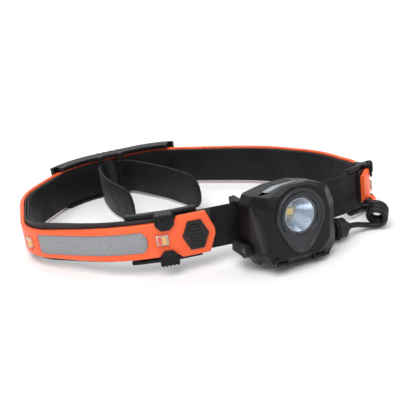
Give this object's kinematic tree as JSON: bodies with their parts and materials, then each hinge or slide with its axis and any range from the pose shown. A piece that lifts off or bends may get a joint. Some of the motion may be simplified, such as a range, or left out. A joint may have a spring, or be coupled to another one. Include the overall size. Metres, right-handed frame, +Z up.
{
  "type": "headlamp",
  "caption": "Headlamp with a tilting battery lamp on an elastic head strap, a clip-on orange side light band, push buttons and a short coiled cable.",
  "frame": {"origin": "on the surface that the headlamp lies on, under the middle of its box", "axes": "+Z up from that surface; +Y from the lamp's lens towards the back of the head; +X to the right for someone facing the lens"},
  "size_m": [0.2114, 0.2195, 0.0484],
  "materials": {
    "strap_rubber": "smooth matt black elastic strap",
    "band_orange": "satin orange moulded rubber",
    "backing_rubber": "matt black",
    "flex_amber": "amber film",
    "reflective_tape": "silver grey glass-bead tape",
    "clear_lens": "clear with warm tint",
    "red_led": "red",
    "clip_plastic": "fine textured black",
    "pin_steel": "bright",
    "head_plastic": "fine textured black",
    "bezel_grey": "satin dark grey",
    "main_lens_clear": "clear",
    "seal_rubber": "black",
    "reflector_chrome": "bright",
    "board_green": "solder mask",
    "led_yellow": "phosphor yellow",
    "cell_jacket": "plain printed jacket without lettering",
    "contact_metal": "nickel",
    "switch_black": "black",
    "button_grey": "matt grey",
    "band_button_black": "satin black",
    "cable_black": "matt black cable jacket"
  },
  "bodies": {
    "headband": {"front_strap": "strap_rubber", "right_strap": "strap_rubber", "left_strap": "strap_rubber", "left_strap_tail": "strap_rubber", "right_strap_tail": "strap_rubber", "light_band": "band_orange", "band_backing": "backing_rubber", "flex_circuit": "flex_amber", "left_reflector": "reflective_tape", "right_reflector": "reflective_tape", "band_lens_front_left": "clear_lens", "band_lens_left": "clear_lens", "band_lens_right": "clear_lens", "band_lens_front_right": "clear_lens", "band_leds": "red_led", "left_clip": "clip_plastic", "right_clip": "clip_plastic", "rear_plate": "clip_plastic", "right_adjuster_bar": "clip_plastic", "left_adjuster_bar": "clip_plastic", "strap_bracket": "clip_plastic", "left_tilt_pin": "pin_steel", "right_tilt_pin": "pin_steel", "band_button_bezel": "band_button_black", "band_button_switch": "switch_black", "cable_connector": "cable_black", "cable_strain_relief": "cable_black", "cable_lead": "cable_black", "cable_coil": "cable_black", "cable_tail": "cable_black", "band_cable_gland": "band_orange"},
    "lamp_head": {"rear_housing": "head_plastic", "front_housing": "head_plastic", "door_hinge_pins": "pin_steel", "door_seal": "seal_rubber", "bezel_ring": "bezel_grey", "main_lens": "main_lens_clear", "lens_seal": "seal_rubber", "reflector_cup": "reflector_chrome", "led_board": "board_green", "main_led": "led_yellow", "battery_1": "cell_jacket", "battery_2": "cell_jacket", "battery_3": "cell_jacket", "left_contact_plate": "contact_metal", "right_contact_plate": "contact_metal", "control_board": "board_green", "lamp_button_switch": "switch_black", "driver_coil": "switch_black"},
    "battery_door": {"battery_door": "head_plastic"},
    "lamp_button": {"lamp_button": "button_grey"},
    "band_button": {"band_button": "band_button_black"}
  },
  "joints": [
    {"name": "lamp_tilt", "type": "hinge", "parent": "headband", "child": "lamp_head", "pos_m": [0.0216, -0.0903, 0.011], "axis": [0.9954, 0, -0.0958], "range_deg": [0, 45]},
    {"name": "door_hinge", "type": "hinge", "parent": "lamp_head", "child": "battery_door", "pos_m": [0.02107, -0.10667, 0.00551], "axis": [-0.9954, 0, 0.0958], "range_deg": [0, 95]},
    {"name": "lamp_button_press", "type": "slide", "parent": "lamp_head", "child": "lamp_button", "axis": [-0.0953, -0.1045, -0.9899], "range_m": [0, 0.0012], "stiffness_N_per_m": 500},
    {"name": "band_button_press", "type": "slide", "parent": "headband", "child": "band_button", "axis": [0.2635, 0.9647, 0], "range_m": [0, 0.0005], "stiffness_N_per_m": 500}
  ]
}
